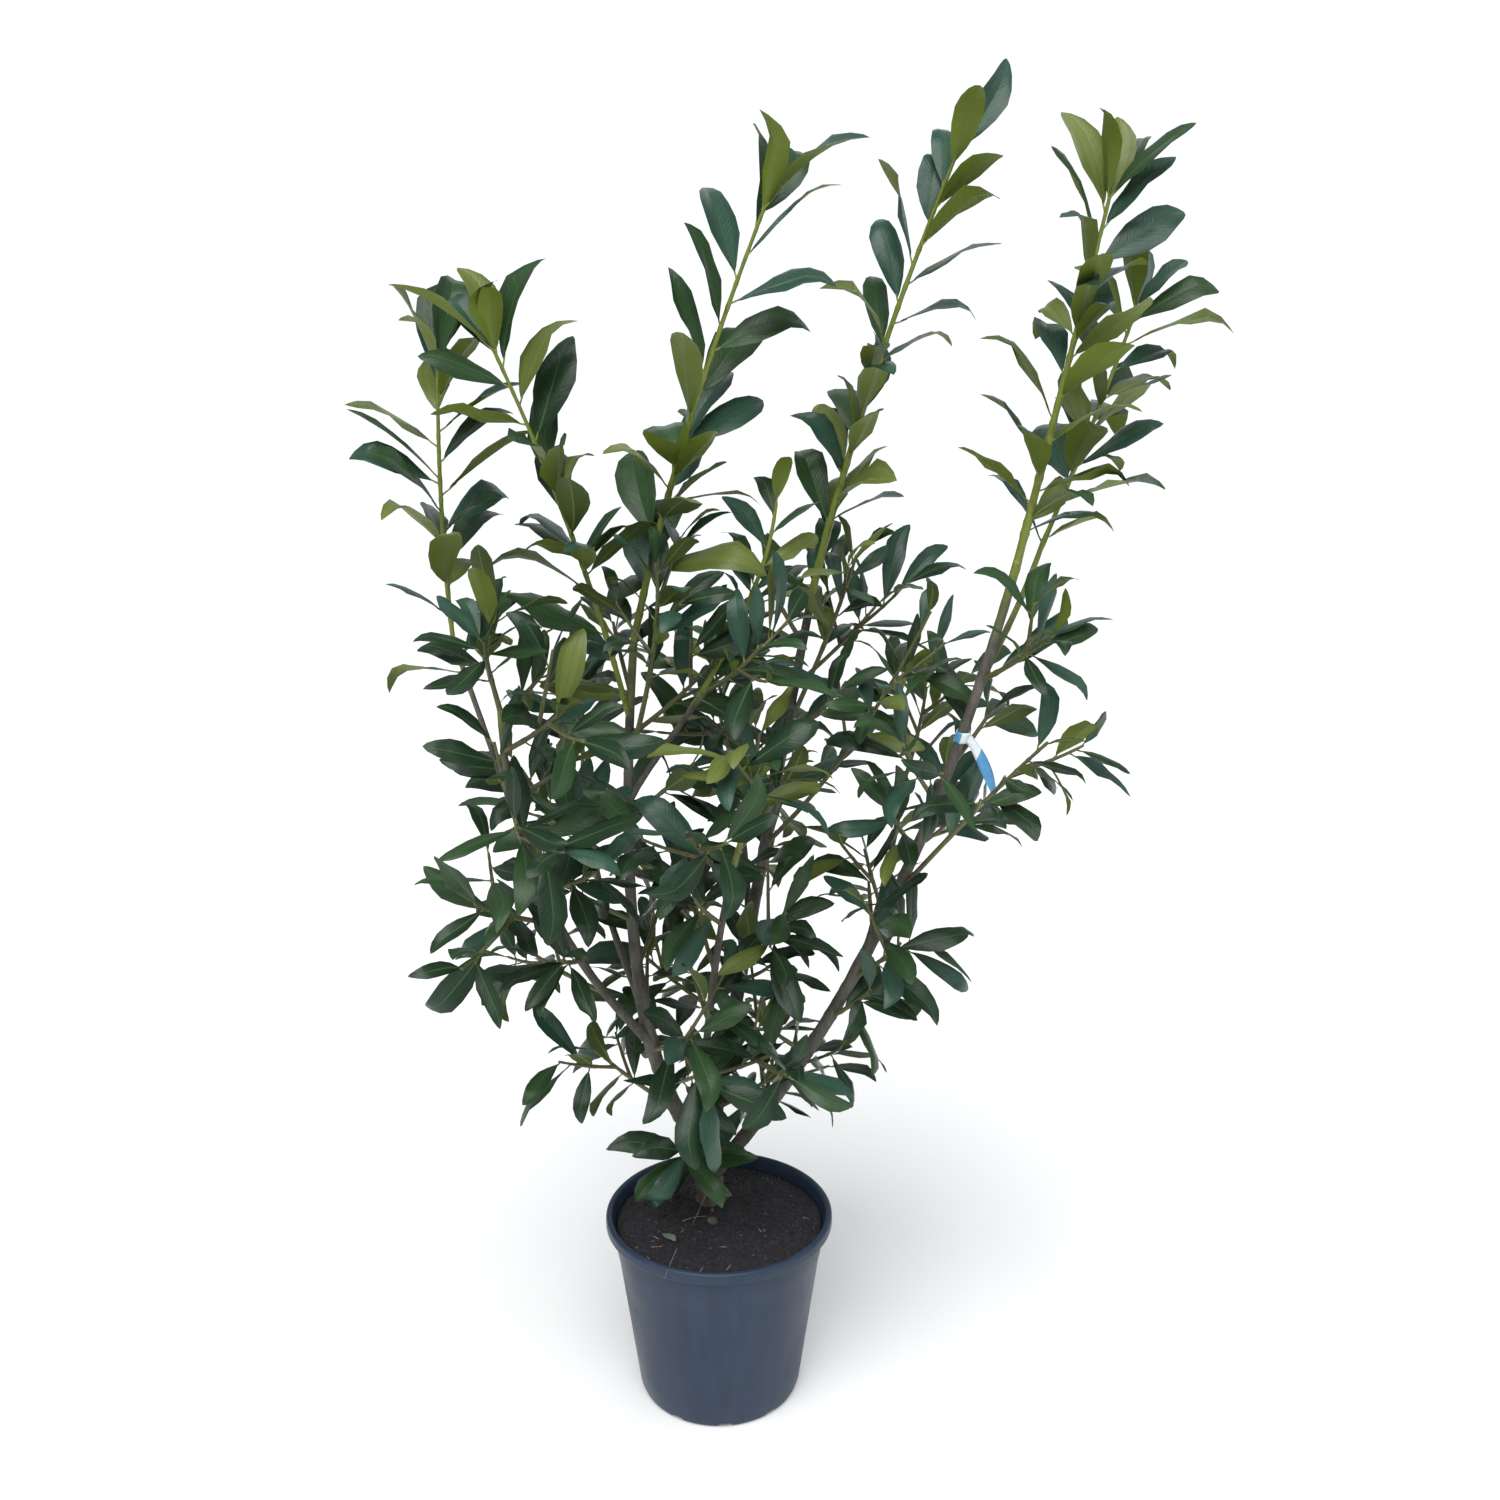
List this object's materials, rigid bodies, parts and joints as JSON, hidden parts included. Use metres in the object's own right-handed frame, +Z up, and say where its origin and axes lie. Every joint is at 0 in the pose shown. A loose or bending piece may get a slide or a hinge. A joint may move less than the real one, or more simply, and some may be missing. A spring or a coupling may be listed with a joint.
{
  "type": "potted cherry laurel",
  "caption": "Many-stemmed evergreen shrub with long glossy leaves, standing in a round dark plastic nursery pot filled with soil.",
  "frame": {"origin": "centre of the pot's flat underside", "axes": "+Z up; -Y is the front, the side that the picture shows, and +X is to the right seen from there"},
  "size_m": [1.0289, 0.7657, 1.6713],
  "materials": {
    "pot_plastic": "satin",
    "soil": "matte",
    "bark": "matte",
    "leaves": "satin",
    "young_leaves": "satin",
    "tag_film": "satin"
  },
  "bodies": {
    "root": {"back_bough": "bark", "back_head": "leaves", "back_left_bough": "bark", "back_left_head": "leaves", "back_left_side_1": "leaves", "back_right_bough": "bark", "back_right_head": "leaves", "back_right_side_1": "leaves", "back_side_1": "leaves", "centre_bough": "bark", "centre_fork_shoot": "leaves", "centre_right_sprig": "leaves", "centre_shoot": "young_leaves", "centre_side_1": "leaves", "centre_side_2": "leaves", "centre_side_3": "leaves", "centre_side_4": "leaves", "centre_side_5": "leaves", "centre_side_6": "leaves", "far_left_bough": "bark", "far_left_shoot": "young_leaves", "far_right_shoot": "young_leaves", "foot_sprig": "leaves", "front_bough": "bark", "front_head": "leaves", "front_side_1": "leaves", "front_side_2": "leaves", "front_side_3": "leaves", "inner_bough": "bark", "inner_head": "leaves", "inner_left_shoot": "young_leaves", "inner_sprig": "young_leaves", "left_bough": "bark", "left_fork_head": "leaves", "left_shoot": "young_leaves", "left_side_1": "leaves", "left_side_2": "leaves", "left_side_3": "leaves", "left_side_4": "leaves", "left_side_5": "leaves", "outer_left_bough": "bark", "outer_left_head": "leaves", "outer_left_side_1": "leaves", "outer_left_side_2": "leaves", "outer_left_side_3": "leaves", "outer_left_side_4": "leaves", "pot": "pot_plastic", "right_bough": "bark", "right_fork_bough": "bark", "right_high_head": "leaves", "right_low_head": "leaves", "right_shoot": "young_leaves", "right_side_1": "leaves", "right_side_2": "leaves", "right_side_3": "leaves", "right_side_4": "leaves", "right_side_5": "leaves", "soil": "soil", "stem_tag": "tag_film", "trunk": "bark"}
  },
  "joints": []
}
